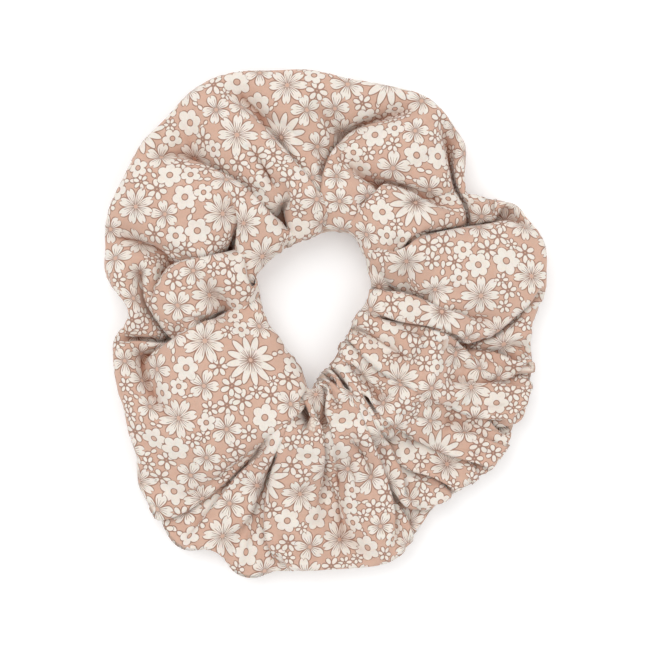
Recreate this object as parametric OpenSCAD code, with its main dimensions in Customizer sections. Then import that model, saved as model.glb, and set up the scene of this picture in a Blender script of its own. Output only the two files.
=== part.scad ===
// Gathered hair scrunchie: a printed cotton tube closed round a stitched loop of flat elastic.
// Millimetres, +Z up, lying on its underside, origin at the middle of the underside.

/* [Edge of the fabric] */
// Size of the scrunchie against its drawn outline
outline_scale = 1.02; // [0.8:0.02:1.24]
// Crests and dips of the outer edge, as [angle, radius] about the loop's centre
outer_edge = [[15, 55], [38, 47], [62, 56], [82, 54.5], [115, 59], [150, 53.5], [181, 44.5], [205, 49.5],
              [240, 64.5], [251, 61], [267, 62], [280, 60.5], [303, 53.5], [324, 54.5], [352, 52]];
// Crests and dips of the inner edge, as [angle, radius] about the loop's centre
inner_edge = [[35, 14.5], [66, 20], [105, 16.5], [145, 16], [175, 12.5], [212, 10.5], [242, 11.5],
              [266, 20], [286, 12.5], [312, 9], [345, 8.5]];

/* [Fabric tube] */
// Height of the tube where it lies on the table
tube_h = 17; // [15:0.5:20]
// Wall thickness of the gathered cotton
cloth_t = 0.5; // [0.4:0.05:0.7]
// Number of gathers round the tube
gathers = 28; // [16:4:28]
// Height of a gather's ridge above its valley
gather_h = 1.4; // [0:0.2:1.6]
// Width of the seam allowances turned into the tube
allowance_w = 4; // [2:0.5:5]
// Angle of the closing seam round the ring, where the tube's ends meet
closing_angle = 38; // [0:1:359]
// Length of ring over which one end of the tube is tucked into the other, in degrees
tuck = 7; // [4:0.5:10]

/* [Elastic] */
// Middle radius of the relaxed elastic loop
elastic_r = 28.5; // [28:0.5:30]
// Width of the flat elastic
elastic_w = 6; // [4:0.5:7]
// Thickness of the flat elastic
elastic_t = 1.2; // [0.8:0.1:1.4]
// Length over which the elastic's ends overlap
overlap_l = 12; // [8:1:16]

/* [Thread] */
// Diameter of the sewing thread
thread_d = 0.3; // [0.2:0.05:0.4]
// Number of stitches along the long seam
seam_stitches = 72; // [48:6:96]
// Number of stitches across the closing seam
closing_stitches = 14; // [8:1:20]

/* [Hidden] */

cotton = [0.83, 0.71, 0.63];
braid = [0.95, 0.94, 0.91];
cream = [0.93, 0.89, 0.83];

squareness = 2.4;        // exponent of the tube's rounded section
seam_at = 205;           // place of the long seam round the section, just below its inner edge
seam_half = 9;           // half of the section's angle left open for the seam
slit = 0.15;             // half of the gap between the two seam allowances
tuck_gap = 0.25;         // air between the tucked end and the end over it
tuck_ease = 6;           // degrees over which the tucked end narrows
rings = 112;             // sections round the ring, four to a gather
section_steps = 22;      // facets round the section
flat_sink = 1;           // how far the round section would reach below the table
stand = elastic_w / 2 + 5;   // height of the middle of the elastic
eps = 0.01;

// Value of a closed list of [angle, radius] crests and dips at an angle, eased between neighbours.
function edge_span(edge, a, i = 0) =
    i == len(edge) - 1 || a < edge[i + 1][0] ? i : edge_span(edge, a, i + 1);
function edge_radius(edge, angle) =
    let (turn = angle - 360 * floor(angle / 360),
         a = turn < edge[0][0] ? turn + 360 : turn,
         i = edge_span(edge, a),
         p = edge[i],
         q = i == len(edge) - 1 ? [edge[0][0] + 360, edge[0][1]] : edge[i + 1],
         share = (a - p[0]) / (q[0] - p[0]))
    outline_scale * (p[1] + (q[1] - p[1]) * (1 - cos(180 * share)) / 2);

function signed_power(v, e) = sign(v) * pow(abs(v), e);

// A point of the rounded section at ring angle a and section angle t, moved inwards by inset, as [radius, height].
function skin(a, t, inset) =
    let (r_in = edge_radius(inner_edge, a),
         r_out = edge_radius(outer_edge, a),
         ridge = gather_h / 2 * cos(gathers * a),
         half_w = (r_out - r_in) / 2 - inset,
         half_h = (tube_h + flat_sink) / 2 - inset,
         lift = sin(t) > 0 ? ridge * sin(t) : 0,
         r = (r_in + r_out) / 2 + half_w * signed_power(cos(t), 2 / squareness),
         z = (tube_h - flat_sink) / 2 + half_h * signed_power(sin(t), 2 / squareness) + lift)
    [r, max(z, inset)];

// The open section of the cloth: [outside points, inside points], from one seam allowance round to the other.
function section(a, inset, allowance) =
    let (edge_a = skin(a, seam_at + seam_half, inset),
         edge_b = skin(a, seam_at + 360 - seam_half, inset),
         mid = (edge_a + edge_b) / 2,
         along = (edge_a - edge_b) / norm(edge_a - edge_b),
         inwards = [-along[1], along[0]],
         side = inwards * ([edge_radius(inner_edge, a) + 12, tube_h / 2] - mid) > 0 ? inwards : -inwards,
         turns = [for (k = [0:section_steps]) seam_at + seam_half + (360 - 2 * seam_half) * k / section_steps],
         deep = max(allowance, eps) + cloth_t)
    [concat([mid + along * slit + side * deep, mid + along * slit],
            [for (t = turns) skin(a, t, inset)],
            [mid - along * slit, mid - along * slit + side * deep]),
     concat([mid + along * (slit + cloth_t) + side * deep, mid + along * (slit + cloth_t) + side * cloth_t],
            [for (t = turns) skin(a, t, inset + cloth_t)],
            [mid - along * (slit + cloth_t) + side * cloth_t, mid - along * (slit + cloth_t) + side * deep])];

// How far through the tuck a section is: 0 along the open tube, 1 where its end lies inside the other end.
function tucked(turn) = min(1, max(0, (turn - (360 - tuck_ease)) / tuck_ease));
// Seam allowances stop short of both ends, which are tucked into each other.
function allowance_at(turn) =
    turn < tuck + 2 || turn > 360 - tuck_ease ? 0 : allowance_w * min(1, (turn - tuck - 2) / 4,
                                                                       (360 - tuck_ease - turn) / 4);

function at(a, rz) = [rz[0] * cos(a), rz[0] * sin(a), rz[1]];

turns_round = concat([for (k = [0:rings - 1]) 360 * k / rings], [360, 360 + tuck / 2, 360 + tuck]);
sections = [for (turn = turns_round)
    let (a = closing_angle + turn)
    [for (side = section(a, tucked(turn) * (cloth_t + tuck_gap), allowance_at(turn)))
        [for (p = side) at(a, p)]]];
row = section_steps + 5;

// The tube's middle on the table is the origin.
outside = [for (s = sections) each s[0]];
low = [min([for (p = outside) p[0]]), min([for (p = outside) p[1]])];
high = [max([for (p = outside) p[0]]), max([for (p = outside) p[1]])];
loop_at = -[(low[0] + high[0]) / 2, (low[1] + high[1]) / 2, 0];

// A swept open section: outside and inside points of every section, with a cap at both ends.
module swept(list) {
    n = len(list);
    m = len(list[0][0]);
    points = [for (s = list) each concat(s[0], [for (j = [m - 1:-1:0]) s[1][j]])];
    loop = 2 * m;
    walls = [for (i = [0:n - 2], j = [0:loop - 1])
        let (k = (j + 1) % loop)
        each [[i * loop + j, (i + 1) * loop + j, (i + 1) * loop + k],
              [i * loop + j, (i + 1) * loop + k, i * loop + k]]];
    function cap(i, flip) = [for (j = [0:m - 2])
        let (q = [i + j, i + j + 1, i + loop - 2 - j, i + loop - 1 - j])
        each flip ? [[q[0], q[2], q[1]], [q[0], q[3], q[2]]] : [[q[0], q[1], q[2]], [q[0], q[2], q[3]]]];
    polyhedron(points, concat(walls, cap(0, false), cap((n - 1) * loop, true)));
}

module fabric_tube() {
    color(cotton) translate(loop_at) swept(sections);
}

// Flat elastic standing on its edge, with one end lying on the outside of the other.
module elastic_band() {
    lap = overlap_l / elastic_r * 180 / PI;
    color(braid) translate(loop_at + [0, 0, stand - elastic_w / 2]) {
        rotate_extrude($fn = 96)
            translate([elastic_r - elastic_t / 2, 0])
                square([elastic_t, elastic_w]);
        rotate([0, 0, closing_angle + 90 - lap / 2])
            rotate_extrude(angle = lap, $fn = 96)
                translate([elastic_r + elastic_t / 2 - eps, 0])
                    square([elastic_t + eps, elastic_w]);
    }
}

// A straight stitch from p towards q, covering a share of the way.
module stitch(p, q, share = 1) {
    d = q - p;
    translate(p + d * (1 - share) / 2) rotate([0, acos(d[2] / norm(d)), atan2(d[1], d[0])])
        cylinder(d = thread_d, h = norm(d) * share, $fn = 16);
}

// Two bars of zigzag thread through both ends of the elastic.
module elastic_join_stitches() {
    zigs = 6;
    inset = 0.8;
    bar = 1.6;
    face = elastic_r + elastic_t * 1.5 + thread_d * 0.3;
    lap = overlap_l / elastic_r * 180 / PI;
    function corner(side, k) =
        let (a = closing_angle + 90 + side * (lap / 2 - 6) + (k % 2 - 0.5) * bar / elastic_r * 180 / PI,
             z = stand - elastic_w / 2 + inset + (elastic_w - 2 * inset) * k / zigs)
        [face * cos(a), face * sin(a), z];
    color(cream) translate(loop_at)
        for (side = [-1, 1])
            for (k = [0:zigs - 1])
                stitch(corner(side, k), corner(side, k + 1), 0.7);
}

// Middle of the long seam's allowances at one ring angle, and the direction across them.
function seam_mid(a) =
    let (edge_a = skin(a, seam_at + seam_half, 0), edge_b = skin(a, seam_at + 360 - seam_half, 0),
         along = (edge_a - edge_b) / norm(edge_a - edge_b),
         inwards = [-along[1], along[0]],
         mid = (edge_a + edge_b) / 2,
         side = inwards * ([edge_radius(inner_edge, a) + 12, tube_h / 2] - mid) > 0 ? inwards : -inwards)
    [mid + side * 1.4, along];

// One of the two threads of the long seam, lying along one allowance.
module seam_thread(face) {
    first = closing_angle + tuck + 8;
    span = 360 - tuck - tuck_ease - 14;
    color(cream) translate(loop_at)
        for (k = [0:seam_stitches - 1]) {
            a = first + span * k / seam_stitches;
            b = first + span * (k + 0.72) / seam_stitches;
            s = seam_mid(a);
            e = seam_mid(b);
            off = face * (slit + cloth_t + thread_d * 0.2);
            stitch(at(a, s[0] + s[1] * off), at(b, e[0] + e[1] * off));
        }
}

module long_seam_needle_thread() {
    seam_thread(1);
}

module long_seam_bobbin_thread() {
    seam_thread(-1);
}

// Slip stitches that close the outer end of the tube over the tucked end, across its top and both sides.
module closing_seam_thread() {
    a = closing_angle;
    color(cream) translate(loop_at)
        for (k = [0:closing_stitches - 1]) {
            t = 220 * k / (closing_stitches - 1) - 30;
            stitch(at(a + 0.6, skin(a + 0.6, t, -thread_d * 0.2)),
                   at(a - 1.2, skin(a - 1.2, t, cloth_t + tuck_gap - thread_d * 0.2)));
        }
}

fabric_tube();
elastic_band();
elastic_join_stitches();
long_seam_needle_thread();
long_seam_bobbin_thread();
closing_seam_thread();
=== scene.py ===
"""A gathered hair scrunchie in printed cotton, lying on a pale table."""

import math

import bpy
import numpy as np
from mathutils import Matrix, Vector


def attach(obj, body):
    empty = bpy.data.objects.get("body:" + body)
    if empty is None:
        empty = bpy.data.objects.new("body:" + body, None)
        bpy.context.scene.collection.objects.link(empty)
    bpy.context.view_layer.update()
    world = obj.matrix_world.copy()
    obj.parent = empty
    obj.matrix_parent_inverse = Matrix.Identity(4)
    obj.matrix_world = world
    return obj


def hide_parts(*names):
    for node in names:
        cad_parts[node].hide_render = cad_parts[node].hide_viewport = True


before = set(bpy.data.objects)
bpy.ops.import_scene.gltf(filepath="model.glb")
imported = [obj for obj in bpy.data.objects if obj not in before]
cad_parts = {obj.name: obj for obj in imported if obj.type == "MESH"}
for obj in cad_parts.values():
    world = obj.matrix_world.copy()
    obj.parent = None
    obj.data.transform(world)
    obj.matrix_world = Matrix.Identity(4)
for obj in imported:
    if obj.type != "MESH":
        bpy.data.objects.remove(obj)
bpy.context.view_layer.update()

MM = 0.001
# The cut strip once it is sewn into a tube: length, width and thickness, in mm as all that follows
CLOTH_L, CLOTH_W, CLOTH_T = 474.0, 108.0, 0.25
# How high the folding cloth stays above the table, and the finished skin
TABLE_GAP, SKIN_GAP = 0.3, 0.03
# The elastic's loop, as in the CAD model: its centre, lower and upper edge, radius to the middle of
# the strip, width and thickness
RING_X, RING_Y = -2.8228, 2.9114
ELASTIC_LOW, ELASTIC_HIGH = 5.0, 11.0
ELASTIC_MID, ELASTIC_WIDE, ELASTIC_THICK = 28.5, 6.0, 1.2
# The round core that keeps the cloth off the elastic: radius of its ring, and its own radius
ELASTIC_R, ELASTIC_CLEAR = 29.1, 2.1
# Where the elastic's ends overlap: the middle in degrees, and the length
LAP_ANGLE, LAP_LENGTH = 128.0, 12.0
# Angle over which the upper end rises onto the lower one, in degrees, and the gap between them
LAP_RISE, LAP_GAP = 16, 0.03
# The zigzag bars that join them: height, width and number of slanting stitches
BAR_HEIGHT, BAR_WIDTH, BAR_ZIGS = 4.6, 1.6, 8
# The braid: distance between ribs, depth of the groove between them, and distance between yarns
RIB_PITCH, RIB_DEPTH, YARN_PITCH = 0.75, 0.10, 0.55
# The strip's rounded edge: its width, half its thickness just short of the rim, and how far short
EDGE_WIDTH, EDGE_THICK, EDGE_DROP = 0.25, 0.3, 0.06
# Seams: where the long seam lies across the cloth, the length of its stitches, the number of slip
# stitches that close the tube, and the thread's radius and length of one twist
SEAM_AT, STITCH_LENGTH, CLOSING_STITCHES = 103.5, 2.5, 30
THREAD_R, TWIST_PITCH = 0.13, 0.34
# Print and weave
WEAVE_PITCH = 0.32
GROUND = (0.818, 0.681, 0.606)
GROUND_DEEP = (0.790, 0.650, 0.576)
INK = (0.57, 0.425, 0.36)
PETAL = (0.915, 0.880, 0.843)
PETAL_WARM = (0.898, 0.857, 0.818)
# painted shade: the dark, warm colour that the cloth is multiplied by deep in its creases
CREASE_SHADE = (0.72, 0.57, 0.49)
REVERSE = (0.93, 0.88, 0.83)
# Stiffness against small and wide bends, as the cloth is gathered and as it is refined
STIFF_COARSE, STIFF_FINE = (0.8, 0.1), (0.25, 0.0)
# Grid points along and round the tube, coarse and fine, and steps of gathering, resting and refining
COARSE_GRID, FINE_GRID = (280, 66), (460, 108)
GATHER_STEPS, REST_STEPS, FINE_STEPS = 300, 80, 60
SIM_SEED, PRINT_SEED = 5, 7
# Sharp pleats: where each starts (degrees round the ring, mm from its middle), where it ends,
# how far it bows aside and how deep it goes, in mm
PLEATS = (
    (282, 26.8, 289, 41.9, 1.0, 4.0),
    (283, 33.6, 281, 47.7, 0.5, 2.0),
    (349, 17.2, 342, 50.3, 1.2, 2.4),
    (304, 23.4, 336, 52.1, -1.5, 1.8),
    (320, 37.7, 327, 54.9, 0.8, 2.8),
    (298, 34.0, 321, 54.0, 0.5, 1.8),
    (299, 23.5, 327, 51.4, -1.0, 1.8),
    (325, 16.5, 342, 50.0, 0.5, 1.8),
    (336, 21.6, 349, 50.5, 1.0, 2.0),
    (294, 40.3, 300, 58.6, -0.6, 1.8),
    (278, 30.2, 276, 57.3, 0.4, 4.5),
    (253, 37.0, 254, 58.0, -0.8, 3.4),
    (250, 29.8, 234, 54.2, 1.0, 3.2),
    (250, 37.2, 240, 57.2, 0.5, 2.0),
    (157, 30.6, 160, 51.9, -1.0, 1.8),
    (110, 19.5, 112, 42.0, -1.6, 3.0),
    (92, 40.3, 109, 54.4, 1.0, 1.6),
    (80, 25.0, 80, 42.0, 0.8, 1.8),
    (57, 35.6, 53, 47.7, 0.5, 1.4),
    (52, 31.0, 39, 45.2, 0.6, 2.4),
    (43, 22.2, 26, 47.7, 1.0, 2.4),
)
# Width of a pleat's gentle side, of its steep side and of half its slit
PLEAT_GENTLE, PLEAT_STEEP, PLEAT_SLIT = 4.0, 2.0, 1.6
# Height over which a pleat squeezes the cloth beside the elastic
LOBE_HEIGHT = 10.0
# Depth at which the painted shade of a crease starts, and at which it is full, and rounds of
# smoothing that give the level from which the depth is measured
CREASE_FROM, CREASE_FULL, CREASE_REACH = 0.4, 1.6, 14
# Skin of the finished cover: quads along and round it
SKIN_ROWS, SKIN_COLUMNS = 500, 98
# Stage, in metres: width of the view, at which height and about which point, half the table's side,
# and where the lights point
VIEW_WIDTH, VIEW_HEIGHT, VIEW_MIDDLE = 0.152, 0.009, (-0.0007, -0.0001)
TABLE_HALF, LIGHT_AIM = 1.5, (0, 0, 0.005)

# ---------------- cloth

# Where the cover's lobes meet. Each row starts at a valley: its angle at the inner edge and at the
# outer edge, the cloth from there to the next valley in mm, the valley's depth, the cloth's stiffness
# after it, and the number of small gathers after it.
LOBES = (
    (60, 38, 64, 6.0, 0.26, 2),
    (78, 100, 84, 7.5, 0.26, 3),
    (172, 181, 56, 5.0, 0.22, 3),
    (216, 232, 24, 5.0, 0.10, 3),
    (245, 248.5, 42, 4.0, 0.09, 5),
    (264, 275, 34, 6.0, 0.09, 5),
    (282, 296, 66, 5.0, 0.05, 9),
    (302, 332, 44, 3.5, 0.05, 6),
    (332, 352, 28, 5.0, 0.14, 3),
    (360, 375, 32, 2.0, 0.16, 2),
    (420, 398, 0, 6.0, 0.26, 0),
)
# Outer and inner outline of the ring about the loop's centre: angle and radius in mm
OUTER_EDGE = (
    (5, 54.5), (16, 56.5), (27, 54.5), (39, 46.5), (50, 54.0), (62, 57.0), (80, 55.5),
    (95, 57.5), (115, 60.5), (132, 57.5), (150, 55.0), (168, 51.5), (180, 44.5), (190, 49.0),
    (205, 50.5), (216, 53.5), (226, 60.0), (240, 65.5), (247, 61.5), (255, 66.5), (262, 62.0),
    (272, 61.0), (286, 62.0), (303, 54.5), (320, 56.0), (340, 54.5), (355, 51.5),
)
INNER_EDGE = (
    (0, 8.5), (20, 12.0), (35, 13.7), (50, 16.0), (66, 18.7), (80, 18.0), (95, 15.6),
    (120, 15.0), (145, 15.0), (165, 12.0), (185, 10.7), (210, 9.2), (242, 10.2), (254, 11.5),
    (265, 16.5), (275, 12.5), (292, 10.5), (305, 8.0), (330, 7.5), (350, 7.3),
)
# Lengths and heights in mm
RIM_SPARE = 0.3            # how far inside the outer outline the finished cloth stays
HOLE_SPARE = 1.4           # how far outside the inner outline it stays
PUCKER_WAVES = (90, 220)   # fewest and most fine creases round the ring
PUCKER_HEIGHT = 0.22       # height of the fine creases
PUCKER_SETS = (48, 12)     # number of waves that add up to the creases, and to their strong patches
COVER_TOP = 16.5           # highest that the cloth may stand
ROUNDNESS = 2.0            # how full the tube is at its edges: 1 is a sharp lens, 2 an ellipse
PUFF = 0.020               # how far air and stiffness push the cloth out in one step
WEIGHT = 0.02              # how far the cloth falls in one step
GLIDE = 0.9                # share of its last movement that the cloth keeps
PULL, PUSH = 0.9, 0.7      # how much of a stretch or a squeeze is undone at a time
SHEAR = 0.35               # the same for a slant of the grid
LAYER_PUSH = 0.4           # the same for layers that are too close
LAYER_GAP = 1.3            # least distance between layers of cloth at the coarse stage
FINE_GAP = 0.95            # the same at the fine stage
EDGE_STEP = 0.5            # furthest that the drawn edges are moved in one step
EDGE_HEIGHTS = 7.5, 6.5    # how high the inner and the outer edge are drawn
STEER = 0.03               # how strongly the edges are turned towards their lobes' angles
OPEN_GAP = 2.5             # least height of the upper side above the underside
FOLD_WIDTH = 5.0           # reach of the valley between two lobes, along the cloth
GATHER_WIDTH = 2.2         # reach of a small gather, along the cloth
GATHER_DEPTH = (1.2, 2.4)  # shallowest and deepest small gather
OPEN_TUBE = (19.0, 8.0)    # width and height of half the open tube, before it is scaled to the cloth
RIPPLE = 0.8               # height of the first small waves round the open tube


def smooth_grid(points, rows, columns):
    """A smooth surface through a closed grid, read off at finer steps."""
    for axis, count in ((0, rows), (1, columns)):
        have = points.shape[axis]
        x = np.arange(count) / count * have
        low = np.floor(x).astype(int)
        f = x - low
        weights = (
            (1 - f) ** 3 / 6,
            (3 * f ** 3 - 6 * f ** 2 + 4) / 6,
            (-3 * f ** 3 + 3 * f ** 2 + 3 * f + 1) / 6,
            f ** 3 / 6,
        )
        shape = [1, 1, 1]
        shape[axis] = count
        points = sum(
            np.take(points, (low + k - 1) % have, axis) * weight.reshape(shape)
            for k, weight in enumerate(weights)
        )
    return points


def smoothed(values, rounds, step=1, own=1, axis=0):
    """Closed rows of values, each averaged with its neighbours a number of times."""
    for _ in range(rounds):
        values = (np.roll(values, step, axis) + own * values + np.roll(values, -step, axis)) / (2 + own)
    return values


def cloth_normals(points):
    """Directions out of the tube at every point of its grid."""
    along = np.roll(points, -1, 0) - np.roll(points, 1, 0)
    across = np.roll(points, -1, 1) - np.roll(points, 1, 1)
    normal = np.cross(across, along)
    return normal / (np.linalg.norm(normal, axis=-1, keepdims=True) + 1e-9)


def pucker(points, seed):
    """Fine creases that run out from the gathered inner edge and fade towards the outer edge."""
    rows, columns = points.shape[:2]
    rng = np.random.default_rng(seed)
    u = np.arange(rows)[:, None] / rows * 2 * np.pi
    v = np.arange(columns)[None, :] / columns * 2 * np.pi
    creases = np.zeros((rows, columns))
    patches = np.zeros((rows, columns))
    crease_sets, patch_sets = PUCKER_SETS
    for _ in range(crease_sets):
        waves = rng.integers(*PUCKER_WAVES)
        start, lean, bow = rng.uniform(0, 2 * np.pi), rng.normal(), rng.normal()
        creases += np.cos(waves * u + start + 2.0 * lean * np.sin(v) + 1.5 * bow * np.cos(2 * v))
    for _ in range(patch_sets):
        waves, turns = rng.integers(3, 24), rng.integers(0, 3)
        patches += np.cos(waves * u + turns * v + rng.uniform(0, 2 * np.pi))
    creases = np.abs(creases / (crease_sets / 2) ** 0.5) - 0.8
    strength = np.clip(0.55 + 0.45 * patches / (patch_sets / 2) ** 0.5, 0.1, 1.3)
    strength = strength * (0.4 + 0.6 * (1 + np.cos(v)) / 2)
    return points + cloth_normals(points) * (PUCKER_HEIGHT * creases * strength)[..., None]


def press_pleats(points):
    """Presses sharp creases into the cover, and draws the cloth on both sides in towards them."""
    for start, start_reach, end, end_reach, bow, depth in PLEATS:
        start, end = math.radians(start), math.radians(end)
        first = start_reach * np.array([math.cos(start), math.sin(start)])
        last = end_reach * np.array([math.cos(end), math.sin(end)])
        length = np.linalg.norm(last - first)
        way = (last - first) / length
        side = np.array([-way[1], way[0]])
        gap = points[..., :2] - first
        along = gap @ way / length
        ends = np.clip(4 * along * (1 - along), 0, 1) ** 0.5
        off = gap @ side - bow * ends ** 2
        near = np.clip(np.abs(off) / PLEAT_SLIT, 0, 1)
        slope = np.clip(1 - off / np.where(off > 0, PLEAT_GENTLE, -PLEAT_STEEP), 0, 1) ** 2
        fall = depth * ends * (0.25 * slope + 0.75 * (1 - near))
        # every layer keeps its order: all that lies above the base is squeezed down together
        height = points[..., 2]
        from_elastic = np.abs(np.hypot(points[..., 0], points[..., 1]) - ELASTIC_MID)
        base = np.where(from_elastic < ELASTIC_CLEAR + 0.5, ELASTIC_HIGH + 1.2, 1.0)
        squeeze = np.minimum(fall / np.where(base > 1, COVER_TOP - base, LOBE_HEIGHT), 0.6)
        lowered = height - squeeze * np.maximum(height - base, 0)
        # the cloth on both sides is drawn towards the slit, most of all high up
        high_up = np.clip((height - base) / 6, 0, 1)
        inward = off * (near - 1) * ends * min(depth / 3, 1) * high_up
        plan = points[..., :2] + inward[..., None] * side
        points = np.concatenate([plan, lowered[..., None]], -1)
    return points


def crease_depth(points):
    """How far each point lies below the cloth round it, which sets the painted shade of creases: 0 on
    open cloth, 1 deep in a crease.
    """
    level = points
    for _ in range(CREASE_REACH):
        level = smoothed(smoothed(level, 1, own=2), 1, own=2, axis=1)
    below = ((level - points) * cloth_normals(points)).sum(-1)
    return np.clip((below - CREASE_FROM) / (CREASE_FULL - CREASE_FROM), 0, 1)


def edge_table(knots):
    """Radius for every half degree, eased between the knots."""
    angle = np.array([k[0] for k in knots], float)
    value = np.array([k[1] for k in knots], float)
    angle = np.concatenate([[angle[-1] - 360], angle, [angle[0] + 360]])
    value = np.concatenate([[value[-1]], value, [value[0]]])
    at = np.arange(0, 360, 0.5)
    i = np.clip(np.searchsorted(angle, at, side="right") - 1, 0, len(angle) - 2)
    share = (at - angle[i]) / (angle[i + 1] - angle[i])
    return value[i] + (value[i + 1] - value[i]) * (1 - np.cos(np.pi * share)) / 2


def read_edge(table, theta):
    """Radii from an edge table at any angles."""
    place = (np.degrees(theta) % 360) * 2
    i = np.floor(place).astype(int) % 720
    f = place - np.floor(place)
    return table[i] * (1 - f) + table[(i + 1) % 720] * f


def short_way(step, length):
    """A signed step the short way round a closed length."""
    return (step + length / 2) % length - length / 2


class Cloth:
    """A closed tube of cloth as a grid: rows go along the ring, columns round the tube."""

    def __init__(self, rows, columns, seed):
        self.rows, self.columns = rows, columns
        self.along, self.across = CLOTH_L / rows, CLOTH_W / columns
        self.outer, self.inner = edge_table(OUTER_EDGE), edge_table(INNER_EDGE)
        self.lay_out_lobes(seed)
        self.lay_open(seed)

    def lay_out_lobes(self, seed):
        """Shares the cloth out between the lobes, and marks where it will fold."""
        plan = np.array(LOBES, float)
        starts = np.concatenate([[0], np.cumsum(plan[:-1, 2])])
        place = np.arange(self.rows) / self.rows * CLOTH_L
        self.inner_angle = np.radians(np.interp(place, starts, plan[:, 0]))
        self.outer_angle = np.radians(np.interp(place, starts, plan[:, 1]))
        angle = (self.inner_angle + self.outer_angle) / 2
        for _ in range(60):
            ahead = np.append(angle[1:], angle[0] + 2 * np.pi)
            behind = np.append(angle[-1] - 2 * np.pi, angle[:-1])
            angle = (ahead + angle + behind) / 3
        self.angle = angle
        lobe = np.clip(np.searchsorted(starts, place, side="right") - 1, 0, len(plan) - 2)
        self.stiff = smoothed(plan[lobe, 4], 16)[:, None, None]
        rng = np.random.default_rng(seed)
        folds = np.zeros(self.rows)
        gathers = np.zeros(self.rows)
        for start, row in zip(starts, plan):
            folds -= row[3] * np.exp(-(short_way(place - start, CLOTH_L) / FOLD_WIDTH) ** 2)
            for q in range(int(row[5])):
                share = (q + 1 + rng.uniform(-0.2, 0.2)) / (row[5] + 1)
                spot = start + row[2] * share
                near = np.exp(-(short_way(place - spot, CLOTH_L) / GATHER_WIDTH) ** 2)
                gathers -= rng.uniform(*GATHER_DEPTH) * near
        self.folds = folds - folds.mean()
        self.gathers = gathers - gathers.mean()

    def lay_open(self, seed):
        """The tube as a wide smooth ring, before it is gathered."""
        self.wide = CLOTH_L / 2 / np.pi
        a, b = OPEN_TUBE
        round_it = np.pi * (3 * (a + b) - np.sqrt((3 * a + b) * (a + 3 * b)))
        a, b = a * CLOTH_W / round_it, b * CLOTH_W / round_it
        self.half = a
        t = np.linspace(0, 2 * np.pi, 2001)
        ex, ez = -a * np.cos(t), b * np.sin(t)
        arc = np.concatenate([[0], np.cumsum(np.hypot(np.diff(ex), np.diff(ez)))])
        t = np.interp(np.arange(self.columns) / self.columns * arc[-1], arc, t)[None, :]
        theta = self.angle[:, None]
        radius = self.wide - a * np.cos(t)
        height = np.broadcast_to(b * np.sin(t) + b + 1.5, (self.rows, self.columns))
        points = np.stack([radius * np.cos(theta), radius * np.sin(theta), height], -1)
        rng = np.random.default_rng(seed + 1)
        ripple = np.zeros(self.rows)
        turn = np.arange(self.rows) / self.rows * 2 * np.pi
        for k in range(24, 90):
            ripple += rng.normal() * np.cos(k * turn + rng.uniform(0, 6.28)) / k ** 0.5
        ripple *= RIPPLE / np.abs(ripple).max()
        flat = 0 * theta
        out = np.stack([-np.cos(theta) * np.cos(t), -np.sin(theta) * np.cos(t), np.sin(t) + flat], -1)
        points += out * ripple[:, None, None]
        lean = 0.6 + 0.4 * np.cos(t)
        inwards = np.stack([-np.cos(theta) * lean, -np.sin(theta) * lean, 0.8 * np.sin(t) + flat], -1)
        near_inside = (0.5 + 0.5 * np.cos(t)) ** 1.2
        points += inwards * (self.folds[:, None] + self.gathers[:, None] * near_inside)[..., None]
        self.points = np.round(points, 3)
        self.before = self.points.copy()

    def refined(self, rows, columns, seed):
        """The same cloth on a finer grid."""
        fine = Cloth(rows, columns, seed)
        fine.points = np.round(smooth_grid(self.points, rows, columns), 3)
        fine.before = fine.points.copy()
        return fine

    def hold_length(self, axis, rest):
        """Keeps neighbours one grid step apart."""
        p = self.points if axis == 0 else self.points.swapaxes(0, 1)
        count = p.shape[0]
        for first in (0, 1):
            i = np.arange(first, count, 2)
            j = (i + 1) % count
            gap = p[j] - p[i]
            length = np.sqrt((gap * gap).sum(-1)) + 1e-9
            off = (length - rest) / length
            move = gap * (0.5 * np.where(off > 0, PULL, PUSH) * off)[..., None]
            p[i] += move
            p[j] -= move

    def hold_shear(self):
        """Keeps the grid's squares from slanting too easily."""
        rest = np.hypot(self.along, self.across)
        total = np.zeros_like(self.points)
        for side in (1, -1):
            gap = np.roll(self.points, (-1, -side), (0, 1)) - self.points
            length = np.sqrt((gap * gap).sum(-1))
            move = gap * (0.5 * SHEAR * (length - rest) / length)[..., None]
            total += move - np.roll(move, (1, side), (0, 1))
        self.points += total * 0.5

    def resist_bend(self, axis, step, hold):
        """Draws each point towards the middle of its neighbours at the given step."""
        p = self.points
        middle = (np.roll(p, -step, axis) + np.roll(p, step, axis)) * 0.5 - p
        move = middle * (hold * 0.5)
        self.points = p + move - 0.5 * (np.roll(move, step, axis) + np.roll(move, -step, axis))

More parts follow.
